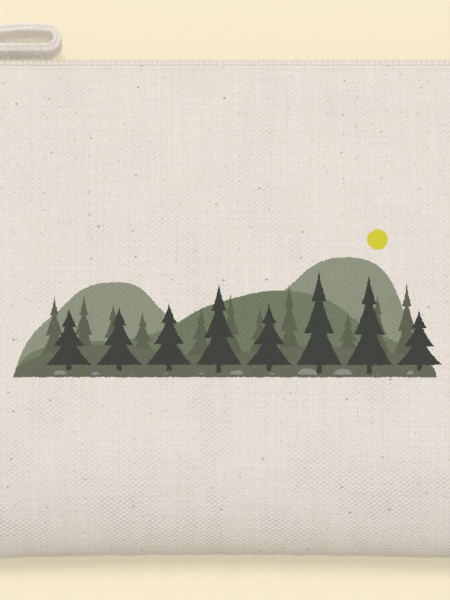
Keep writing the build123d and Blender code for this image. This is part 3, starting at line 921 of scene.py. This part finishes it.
@dataclass
class CanvasBody:
    """The two canvas panels, sewn together round three sides and folded in along the zip. Millimetres."""

    width: float = 178.0
    foot: float = -68.475  # y of the bottom edge at the corners
    lip: float = 58.225  # y of the folded edges beside the zip
    seam: float = 9.0  # height of the seams
    rise: float = 15.0  # the front panel bulges this far from the seams
    drop: float = 9.0  # and the back one
    bottom_roll: float = 28.0  # a panel reaches its height this far from the bottom seam
    side_roll: float = 34.0  # and from a side seam
    back_lift: float = 32.0  # the back panel leaves the table this far from the fold
    bow: float = 1.7  # the middle of the bottom edge is drawn up this far
    corner: float = 8.5  # radius
    mouth: float = 6.4  # half the mouth's width, outside
    mouth_end: float = 83.0  # the mouth starts to narrow here
    tape_end: float = 84.1  # past the tapes' ends the folded edges meet
    end_run: float = 0.8  # over this length
    fold: float = 0.9  # outside radius of the folded edge
    lip_depth: float = 1.6  # the fold shows this wide beside the zip
    cloth: float = 0.8
    seam_cloth: float = 0.25  # thickness at the seam
    seam_taper: float = 0.35  # what a millimetre of height over the seam adds to it
    topstitch: float = 1.4  # sewn this far from the fold
    stitch: float = 2.6
    stitch_gap: float = 0.3
    stitch_margin: float = 1.0  # the row ends at least this far before the mouth narrows
    stitch_points: int = 7
    ring: int = 6  # points round the thread
    thread: tuple[float, float] = (0.16, 0.24)  # half its height and half its width
    sunk: float = 0.25  # the thread's middle lies this far under the undented cloth's face
    arch: float = 0.16  # and this much more at a stitch's ends
    puckers: float = 0.22
    pucker_pitch: float = 9.5
    pucker_drift: tuple[float, float] = (1.7, 14.0)  # their phase strays by these radians over this length
    pucker_mix: tuple[float, float] = (0.6, 0.4)  # shares of these waves and of the fine ones
    pucker_fine: float = 2.3
    pucker_reach: float = 7.0
    pucker_start: float = 1.2  # they come in over this height from the seam
    slack: tuple[float, float] = (0.55, 0.25)  # on the front and on the back
    slack_lengths: tuple[float, ...] = (92.0, 61.0, 43.0, 27.0)
    slack_seeds: tuple[int, int] = (11, 23)
    slack_run: tuple[float, float] = (26.0, 22.0)  # it grows over this much from the seams, and from the fold
    pinch: float = 0.4  # the cloth is drawn in this far at the seam
    pinch_half: float = 0.55
    dent: float = 0.2  # the topstitching sinks this deep
    dent_half: float = 0.36
    rumple: float = 0.05  # beside the zip
    rumple_pitch: float = 7.3
    rumple_reach: float = 5.0
    columns: int = 232
    roll_columns: int = 54  # of them, round each side
    seam_rows: int = 40
    seam_close: float = 1.25  # power that brings rows close to the seam
    level_rows: int = 50
    fall_rows: tuple[int, int] = (96, 44)  # on the front and on the back
    fold_close: float = 1.35  # power that brings rows close to the fold
    fold_rows: int = 9
    tuck_rows: int = 3
    finishes: dict[str, Material] | None = None

    def along(self) -> Points:
        """Place the columns along the zip: evenly in the middle, and by a sine's angle round the sides.

        Returns:
            The places, from one side seam to the other.
        """
        flat = self.width / 2 - self.side_roll
        turn = np.linspace(0, math.pi / 2, self.roll_columns)
        even = np.linspace(0, flat, self.columns // 2 - self.roll_columns + 1)[:-1]
        half = np.concatenate([even, flat + self.side_roll * np.sin(turn)])
        return np.concatenate([-half[:0:-1], half])

    def fullness(self, x: Points) -> Points:
        """Share of its full height that the pouch has at x: a quarter ellipse over each side roll."""
        past = np.clip((np.abs(x) - self.width / 2 + self.side_roll) / self.side_roll, 0, 1)
        return np.sqrt(1 - past**2)

    def bottom(self, x: Points) -> Points:
        """Work out how far in the bottom edge is.

        It is a parabola for the bow, and a quarter circle is added round each corner.

        Args:
            x: places along the zip.

        Returns:
            Distances from the foot, one per place.
        """
        start = self.width / 2 - self.corner
        past = np.clip((np.abs(x) - start) / self.corner, 0, 1)
        bowed = self.bow * (1 - np.clip(np.abs(x) / start, 0, 1) ** 2)
        return bowed + self.corner * (1 - np.sqrt(1 - past**2))

    def mouth_half(self, x: Points) -> Points:
        """Half the mouth's width at x: even, then a quarter ellipse that closes it at the side seam."""
        past = np.clip((np.abs(x) - self.mouth_end) / (self.width / 2 - self.mouth_end), 0, 1)
        return self.mouth * np.sqrt(1 - past**2)

    def outer(self, side: Side) -> tuple[Points, Points]:
        """Work out one panel's outer face as a grid.

        Each column is a section across the pouch, made of four runs: a quarter ellipse from the bottom seam
        up to the panel's height, a level run (on the back only), a parabola that leaves it level and falls to
        the mouth, and a quarter circle with a flat for the folded edge. The flat is short along the zip, and
        past the tapes' ends it reaches the other panel's. Next to the seams the cloth is drawn in and
        puckered, and a row of stitches sinks in along the fold.

        Args:
            side: which panel.

        Returns:
            The points, rows by columns by 3, and their places on the flat cloth, rows by columns by 2.
        """
        x = self.along()[None, :]
        full, bottom, mouth = self.fullness(x), self.bottom(x), self.mouth_half(x)
        top = self.lip - self.foot
        height = side.pick(self.rise, self.drop) * full
        # quarter ellipse up from the seam, with close rows beside the seam
        turn = (math.pi / 2 * np.linspace(0, 1, self.seam_rows) ** self.seam_close)[:, None]
        up = [bottom + self.bottom_roll * (1 - np.cos(turn))]
        out = [height * np.sin(turn)]
        start = bottom + self.bottom_roll
        if side is Side.BACK:
            level = np.linspace(0, 1, self.level_rows)[1:, None]
            level_end = np.maximum(start, top - self.back_lift)
            up.append(start + (level_end - start) * level)
            out.append(height + 0 * level)
            start = level_end
        # parabola to the fold, with close rows near the fold
        share = 1 - np.linspace(1, 0, side.pick(*self.fall_rows))[1:, None] ** self.fold_close
        fold_start = top - self.fold
        up.append(start + (fold_start - start) * share)
        out.append(height + (mouth - height) * share**2)
        # folded edge
        radius = np.minimum(self.fold, mouth)
        bend = (math.pi / 2 * np.linspace(0, 1, self.fold_rows))[1:, None]
        up.append(fold_start + radius * np.sin(bend))
        out.append(mouth - radius * (1 - np.cos(bend)))
        tuck = np.linspace(0, 1, self.tuck_rows + 1)[1:, None]
        closed = smooth_step((np.abs(x) - self.tape_end) / self.end_run)
        inner = np.maximum(mouth - self.lip_depth, 0) * (1 - closed)
        up.append(fold_start + radius + 0 * tuck)
        out.append((mouth - radius) + (inner - mouth + radius) * tuck)
        wide = x.shape[1]
        up, out = (
            np.concatenate([np.broadcast_to(part, (len(part), wide)) for part in run]) for run in (up, out)
        )
        grid = np.stack([np.broadcast_to(x, up.shape), self.foot + up, side.value * out], axis=-1)
        grid = self.soften(grid, side, top)
        cloth = self.cloth_map(grid)
        grid[..., 2] = np.maximum(grid[..., 2] + self.seam, 0.0)
        return grid, cloth

    def cloth_map(self, grid: Points) -> Points:
        """Lay a panel's face flat: lengths walked along each column and each row give a point's place.

        The rows start in the middle column. The columns start where they are level at the folded edge.

        Args:
            grid: points, rows by columns by 3.

        Returns:
            Places on the flat cloth, rows by columns by 2.
        """
        rows, columns = grid.shape[:2]
        middle = columns // 2
        steps = np.linalg.norm(np.diff(grid, axis=0), axis=-1)
        run_y = np.concatenate([np.zeros((1, columns)), np.cumsum(steps, axis=0)])
        at_fold = run_y[-self.tuck_rows - 1]
        run_y = run_y - at_fold + at_fold[middle]
        wide = np.linalg.norm(np.diff(grid[:, :, [0, 2]], axis=1), axis=-1)
        run_x = np.concatenate([np.zeros((rows, 1)), np.cumsum(wide, axis=1)], axis=1)
        return np.stack([run_x - run_x[:, middle : middle + 1], run_y], axis=-1)

    def soften(self, grid: Points, side: Side, top: float) -> Points:
        """Give a panel its puckers, slack and stitched dent by moving points along their normals.

        Puckers are waves along the seam that fade within some 12 mm of it. The slack is a slow wave of the
        whole panel that fades at its edges. The seam pinches the cloth in a narrow bell shape, and the dent
        is another one along the topstitching. A faint rumple runs beside the zip.

        Args:
            grid: the panel's outer face, with its seams at height 0.
            side: which panel.
            top: depth of the pouch from the bottom seam to the fold.

        Returns:
            The softened face.
        """
        x, y, z = grid[..., 0], grid[..., 1] - self.foot, grid[..., 2]
        normal = self.normals(grid)
        from_side = self.width / 2 - np.abs(x)
        from_foot = y - self.bottom(x)
        from_top = top - y
        edge = np.minimum(from_side, from_foot)
        pull = np.exp(-np.maximum(edge, 0) / self.pucker_reach) * (1 - np.exp(-np.abs(z) / self.pucker_start))
        along = np.where(from_foot < from_side, x, y)
        drift = self.pucker_drift[0] * np.sin(along / self.pucker_drift[1])
        coarse = np.sin(2 * math.pi * along / self.pucker_pitch + drift)
        pucker = coarse * self.pucker_mix[0] + self.pucker_mix[1] * np.sin(along / self.pucker_fine)
        filled = wave(x, y, side.pick(*self.slack_seeds), self.slack_lengths)
        held = smooth_step(edge / self.slack_run[0]) * smooth_step(from_top / self.slack_run[1])
        pinch = np.exp(-((np.abs(z) / self.pinch_half) ** 2)) * (from_top > 1.2)
        dent = np.exp(-(((from_top - self.topstitch) / self.dent_half) ** 2)) * smooth_step(from_side / 4.0)
        near_zip = np.exp(-np.maximum(from_top - 1.0, 0) / self.rumple_reach) * smooth_step(from_side / 12.0)
        ripple = np.sin(2 * math.pi * x / self.rumple_pitch + 0.9 * np.sin(x / 9.0))
        # the folded edge itself is left alone
        rumple = ripple * near_zip * (from_top > 0.95)
        outward = (
            self.puckers * pucker * pull
            + side.pick(*self.slack) * filled * held
            - self.pinch * pinch
            - self.dent * dent
            + self.rumple * rumple
        )
        return grid + normal * outward[..., None]

    def normals(self, grid: Points) -> Points:
        """Outward directions of a grid: its step along the columns crossed with its step along the rows.

        Args:
            grid: points, rows by columns by 3.

        Returns:
            Unit vectors that point away from the middle plane.
        """
        cross = np.cross(np.gradient(grid, axis=1), np.gradient(grid, axis=0))
        size = np.linalg.norm(cross, axis=-1, keepdims=True)
        middle = grid.shape[1] // 2
        sign = np.sign(cross[len(cross) // 2, middle, 2]) * np.sign(grid[len(grid) // 2, middle, 2])
        outward = np.sign(grid[..., 0:1]) * np.array([1.0, 0.0, 0.0])
        return np.where(size > 1e-6, cross * sign / np.maximum(size, 1e-9), outward)

    def panel(self, side: Side) -> Piece:
        """Make one panel as a closed sheet.

        The inner face is the outer one moved in by the cloth's thickness along its normals, and four rims
        join them. The cloth thins towards the seams, where the two panels lie on each other.

        Args:
            side: which panel.

        Returns:
            The panel.
        """
        grid, cloth = self.outer(side)
        rows, columns = grid.shape[:2]
        centred = grid - np.array([0, 0, self.seam])
        thickness = np.minimum(self.cloth, self.seam_cloth + self.seam_taper * np.abs(centred[..., 2:3]))
        inner = grid - self.normals(centred) * thickness
        inner[..., 2] = np.maximum((inner[..., 2] - self.seam) * side.value, 0.0) * side.value + self.seam
        points = np.concatenate([grid.reshape(-1, 3), inner.reshape(-1, 3)])
        faces = grid_faces(rows, columns)
        back = rows * columns
        order = -side.value
        number = np.arange(back).reshape(rows, columns)
        rim = np.concatenate([number[0], number[1:, -1], number[-1, -2::-1], number[-2:0:-1, 0]])
        after = np.roll(rim, -1)
        rims = np.stack([rim, after, after + back, rim + back], axis=1)
        blocks = [faces[:, ::order], faces[:, ::-order] + back, rims[:, ::order]]
        name = side.pick("front_canvas", "back_canvas")
        piece = mesh_piece(name, points, blocks, np.concatenate([cloth.reshape(-1, 2)] * 2))
        piece.data.materials.append(self.finishes[side.pick("canvas_printed", "canvas")])
        return piece

    def stitches(self, side: Side) -> Piece:
        """Sew the row of topstitching beside the fold.

        Each stitch is a thin tube whose height over the canvas is a flat arch, so both its ends dip in.

        Args:
            side: which panel.

        Returns:
            The whole row as one piece.
        """
        step = self.stitch + self.stitch_gap
        count = int(2 * (self.mouth_end - self.stitch_margin) / step)
        starts = (np.arange(count) - count / 2) * step
        share = np.linspace(0, 1, self.stitch_points)
        y = self.lip - self.topstitch
        start = side.pick(self.bottom_roll, self.lip - self.foot - self.back_lift)
        depth = self.lip - self.foot - self.fold - start
        past = (y - self.foot - start) / depth
        height = side.pick(self.rise, self.drop)
        z = height + (self.mouth - height) * past**2 - self.sunk - self.arch * (2 * share - 1) ** 6
        out = np.tile([0.0, 0.0, float(side.value)], (len(share), 1))
        half_high, half_wide = (np.full(len(share), half) for half in self.thread)
        parts = []
        for begin in starts:
            path = [begin + share * self.stitch, np.full(len(share), y), self.seam + side.value * z]
            parts.append(tube(np.stack(path, axis=1), out, half_high, half_wide, self.ring))
        piece = mesh_piece(side.pick("front_topstitching", "back_topstitching"), *join(parts))
        piece.data.materials.append(self.finishes["thread"])
        return piece

    def build(self, finishes: dict[str, Material]) -> list[Piece]:
        """Make and mount the body's pieces.

        Args:
            finishes: the materials by their slot.

        Returns:
            The pieces.
        """
        self.finishes = finishes
        front, back = self.panel(Side.FRONT), self.panel(Side.BACK)
        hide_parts("front_panel")
        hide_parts("back_panel")
        pieces = [front, back]
        for side, panel, length in ((Side.FRONT, front, 0.141), (Side.BACK, back, 0.134)):
            row = self.stitches(side)
            pieces.append(row)
        for piece in pieces:
            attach(piece, "pouch")
        return pieces


# --- zip ------------------------------------------------------------------------------------------


@dataclass
class ZipChain:
    """The two wound coils, their cords, and the finishes of the tapes and end stops. Millimetres."""

    pitch: float = 1.5
    meshed: float = 4.8
    thickness: float = 2.9
    tooth: float = 0.66
    mesh_depth: float = 0.4
    under: float = 57.325  # y of the coil's underside
    seam: float = 9.0
    start: float = -80.9
    end: float = 80.9
    throat: float = -74.95  # the rows start to part here
    throat_run: float = 2.2
    parted: float = 1.1
    first: float = 0.3  # the back row starts this share of a pitch in, and the front one half a pitch more
    short: float = 1.2  # a row has this many turns fewer than there are pitches
    per_turn: int = 12
    square: float = 0.75  # power that squares the turns off
    upright: float = 0.85  # 1 where the turn's side on the tape stands quite upright
    swell: float = 0.14  # the filament is thicker by this share where the turns interlock
    flatness: float = 0.9  # its height as a share of its width
    core: tuple[float, float] = (1.45, 1.3)  # the cord's middle over the underside, and out from the zip's
    core_half: tuple[float, float] = (1.1, 0.86)
    core_short: float = 0.4  # it ends this far short of the coil
    core_points: int = 160
    ring: int = 6  # points round the filament
    core_ring: int = 8

    def apart(self, x: Points) -> Points:
        """How far a row stands out from the middle at x: straight from nothing to its full distance."""
        return self.parted * np.clip((self.throat - x) / self.throat_run, 0, 1)

    def coil(self, side: Side) -> Piece:
        """Wind one row.

        The filament's centre line is a flattened helix: x grows evenly with the angle, y is a sine, and the
        distance from the middle a cosine, both squared off a little by a power so that the turns lie flat on
        the tape. The filament thickens where the turns interlock, and is pressed to twice its width at the
        tape's side. A straight cord runs through the turns.

        Args:
            side: the row on the front or on the back tape.

        Returns:
            The row.
        """
        radius = self.tooth / 2
        phase = self.first + side.pick(0.5, 0.0)
        turns = (self.end - self.start) / self.pitch - self.short
        angle = np.linspace(0, 2 * math.pi * turns, int(turns * self.per_turn) + 1)
        squared = [np.sign(w) * np.abs(w) ** self.square for w in (np.cos(angle), np.sin(angle))]
        inner, outer = -self.mesh_depth + radius, self.meshed / 2 - radius
        # the turn's side on the tape stands upright, and the filament moves on where the rows meet
        onward = self.pitch * (angle - self.upright * np.sin(angle)) / (2 * math.pi)
        x = self.start + phase * self.pitch + onward
        out = (inner + outer) / 2 + (outer - inner) / 2 * squared[0] + self.apart(x)
        y = self.under + self.thickness / 2 + (self.thickness / 2 - radius) * squared[1]
        path = np.stack([x, y, self.seam + side.value * out], axis=1)
        away = np.stack([0 * x, squared[1], side.value * squared[0]], axis=1)
        swell = 1 + self.swell * np.clip(-squared[0], 0, 1)
        flat = 1 + np.clip(squared[0], 0, 1)
        wound = tube(path, unit(away), radius * self.flatness * swell, radius * swell * flat, self.ring)
        count = self.core_points
        places = np.linspace(self.start + self.core_short, self.end - self.core_short, count)
        aside = self.seam + side.value * (self.core[1] + self.apart(places))
        middle = np.stack([places, np.full(count, self.under + self.core[0]), aside], axis=1)
        up = np.tile([0.0, 1.0, 0.0], (count, 1))
        cord = tube(middle, up, *(np.full(count, half) for half in self.core_half), self.core_ring)
        return mesh_piece(side.pick("front_coil", "back_coil"), *join([wound, cord]))

    def build(self, finishes: dict[str, Material], nodes: dict[str, Piece]) -> list[Piece]:
        """Make and mount the coils, and dress the tapes and stops.

        Args:
            finishes: the materials by their slot.
            nodes: the frame's own pieces by name.

        Returns:
            The pieces.
        """
        pieces = []
        for side, node in ((Side.FRONT, "coil_front"), (Side.BACK, "coil_back")):
            row = self.coil(side)
            row.data.materials.append(finishes["zip_coil"])
            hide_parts(node)
            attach(row, "pouch")
            pieces.append(row)
        for slot, names in (
            ("zip_tape", ("tape_front", "tape_back")),
            ("zip_stop", ("top_stop_front", "top_stop_back", "bottom_stop")),
            ("slider_metal", ("slider", "puller")),
        ):
            for name in names:
                nodes[name].data.materials.clear()
                nodes[name].data.materials.append(finishes[slot])
                pieces.append(nodes[name])
        return pieces


# --- pull loop ------------------------------------------------------------------------------------


@dataclass
class PullLoop:
    """Folded canvas strip, looped through the pull's eye, which twists towards its free end. Millimetres."""

    eye: tuple[float, float] = (-65.08, 64.575)
    turn: float = 2.0  # radius of the strip's middle round the bar
    thickness: float = 2.2
    width: float = 6.0
    end: float = -41.68
    open: float = 2.6  # between the strands at the free end
    spring: float = 0.15  # and this much more, as the cloth springs back
    crown: float = 0.65  # the upper strand bulges this far
    seam: float = 9.0
    twist: float = 14.0  # degrees, past the bar
    flare: float = 5.0  # degrees that the upper strand twists more
    curl: float = 0.65  # the strip's back edge curls down this far
    droop: float = 0.2  # the lower strand hangs this far under its level
    lean: float = 2.2  # the free end comes this far to the front
    layer_gap: float = 1.6  # the two layers come apart this deep at the strip's edges
    pressed: float = 0.12  # share of that which is left where the strip lies close
    close_at: float = 0.46  # it does so from this share of the way round
    close_run: float = 0.16
    axis_over: float = 0.5  # the strip twists about a line this far over the eye
    groove: float = 1.45  # the stitched groove's distance from the edge
    twist_run: float = 7.0  # the twist eases in over this length
    turn_points: int = 18
    strand_points: int = 46

    def line(self) -> Points:
        """Middle line of the strip, closed, as points in x and y.

        It is a half circle round the bar, a strand that rises with a slight crown, a half ellipse at the free
        end, and a strand that runs back level.

        Returns:
            The points, one row of x and y each.
        """
        x0, y0 = self.eye
        half = self.thickness / 2
        low = y0 - self.turn
        high = low + 2 * half + self.open + self.spring
        end_high = (high - low) / 2
        stop = self.end - half - end_high
        turn = np.linspace(0, math.pi, self.turn_points)[1:-1]
        share = np.linspace(0, 1, self.strand_points)
        bar = np.stack([x0 - self.turn * np.sin(turn), y0 - self.turn * np.cos(turn)], axis=1)
        crown = self.crown * np.sin(math.pi * share**1.5) ** 1.2
        upper_y = y0 + self.turn + (high - y0 - self.turn) * share + crown
        upper = np.stack([x0 + (stop - x0) * share, upper_y], axis=1)
        drop = self.droop * (1 - np.cos(turn)) / 2
        nose_y = low + end_high + end_high * np.cos(turn) - drop
        nose = np.stack([stop + end_high * np.sin(turn), nose_y], axis=1)
        sag = self.droop * (1 - smooth_step((share - 0.45) / 0.5))
        lower = np.stack([stop + (x0 - stop) * share, low - sag], axis=1)
        return np.concatenate([bar, upper, nose, lower])

    def section(self, parting: float) -> Points:
        """Closed outline of the folded strip, as thickness and width: two layers with round edges.

        Going round from the middle of one face, the thickness is the half one with a stitched groove, rounds
        over at the edge and dips into a narrow notch between the layers.

        Args:
            parting: how far the layers part at the edges, from 0 to 1.

        Returns:
            The outline's points, one row of thickness and width each.
        """
        half, wide, notch = self.thickness / 2, self.width / 2, 0.05 + (self.layer_gap - 0.05) * parting
        side = [
            (half, 0.0),
            (half, wide * 0.2),
            (half, wide - self.groove - 0.3),
            (half - 0.08, wide - self.groove),
            (half, wide - self.groove + 0.3),
            (half - 0.02, wide - 0.32),
            (half - 0.12, wide - 0.09),
            (half - 0.4, wide),
            (half - 0.78, wide - 0.01 - 0.09 * parting),
            (0.1 + 0.08 * parting, wide - 0.02 - 0.43 * parting),
            (0.05 + 0.06 * parting, wide - notch * 0.6),
            (0.03, wide - notch),
        ]
        right = np.array(side)
        back = right[:0:-1]
        return np.concatenate([right, back * [-1, 1], right * [-1, -1], back * [1, -1]])

    def build(self, finishes: dict[str, Material]) -> list[Piece]:
        """Make and mount the strip.

        The section is carried along the middle line with its thickness along the line's normal, and then each
        point turns about the zip's direction by an angle that eases in past the bar.

        Args:
            finishes: the materials by their slot.

        Returns:
            The piece, in a list.
        """
        line = self.line()
        tangent = unit(np.roll(line, -1, axis=0) - np.roll(line, 1, axis=0))
        normal = np.stack([-tangent[:, 1], tangent[:, 0]], axis=1)
        shape, shut = self.section(1.0), self.section(0.0)
        # the layers part on the upper strand, where the strip comes off the bar, and lie close further on
        around = np.linspace(0, 1, len(line))[:, None, None]
        closing = smooth_step((self.close_at - around) / self.close_run)
        parting = self.pressed + (1 - self.pressed) * closing
        outline = shut + (shape - shut) * parting
        flat = line[:, None] + normal[:, None] * outline[..., 0:1]
        across = outline[..., 1]
        out = smooth_step((flat[..., 0] - self.eye[0] + 0.5) / self.twist_run)
        middle = self.eye[1] + self.axis_over
        upper = smooth_step((flat[..., 1] - middle + 0.6) / 2.4)
        angle = np.radians(self.twist + self.flare * upper) * out
        y = middle + (flat[..., 1] - middle) * np.cos(angle) + across * np.sin(angle)
        z = self.seam + across * np.cos(angle) - (flat[..., 1] - middle) * np.sin(angle)
        curled = (np.clip(-2 * across / self.width, 0, 1)) ** 2 * out
        y = y - self.curl * (1 + 0.8 * upper) * curled
        z = z + self.lean * np.clip((flat[..., 0] - self.eye[0]) / (self.end - self.eye[0]), 0, 1)
        points = np.stack([flat[..., 0], y, z], axis=-1)
        rows, columns = points.shape[:2]
        faces = grid_faces(rows, columns, closed_rows=True, closed_columns=True)[:, ::-1]
        # the cloth map has one more row and column than the mesh, so nothing is stretched where they close
        run, girth = (
            np.concatenate([[0], np.cumsum(np.linalg.norm(np.diff(part, axis=0), axis=1))])
            for part in (np.concatenate([line, line[:1]]), np.concatenate([shape, shape[:1]]))
        )
        opened = grid_faces(rows + 1, columns + 1)[:, ::-1]
        cloth = np.stack([run[opened // (columns + 1)], girth[opened % (columns + 1)]], axis=-1)
        piece = mesh_piece("canvas_pull_loop", points.reshape(-1, 3), [faces], cloth.reshape(-1, 2))
        piece.data.materials.append(finishes["loop_canvas"])
        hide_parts("pull_loop")
        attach(piece, "pull")
        return [piece]


# --- all of it ------------------------------------------------------------------------------------


def make_finishes() -> dict[str, Material]:
    """Make every finish once.

    Returns:
        The materials by the record's slot, and the sewing thread.
    """
    # the loop's colours are darker than the canvas's own; its painted glow brings its lit faces back up to
    # that colour and lightens its shaded undersides
    loop = NaturalCanvas(
        name="loop_cotton_canvas_painted_glow",
        colour="#CEC2B7",
        pale="#D5CABF",
        relief=0.2,
        through=0.8,
        painted_glow=0.25,
        weave=Weave(warp=0.7, weft=0.55),
    )
    thread = CoilPlastic(name="cotton_sewing_thread", colour="#EAE3DA", deep="#E4DBD1", roughness=0.8)
    return {
        "canvas_printed": NaturalCanvas(name="printed_cotton_canvas", design=ForestPrint()).build(),
        "canvas": NaturalCanvas().build(),
        "loop_canvas": loop.build(),
        "thread": thread.build(),
        "zip_tape": WovenTape().build(),
        "zip_coil": CoilPlastic().build(),
        "zip_stop": ZipMetal(Plating.ALUMINIUM).build(),
        "slider_metal": ZipMetal(Plating.NICKEL).build(),
    }


def main() -> None:
    """Build the studio and the sub-assemblies in order."""
    logging.basicConfig(level=logging.INFO, format="%(message)s")
    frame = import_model()
    Studio().build()
    finishes = make_finishes()
    pieces = CanvasBody().build(finishes)
    pieces += ZipChain().build(finishes, frame["nodes"])
    pieces += PullLoop().build(finishes)
    for piece in pieces:
        LOG.info("%s: %d faces, %s", piece.name, len(piece.data.polygons), piece.data.materials[0].name)


if __name__ == "__main__":
    main()
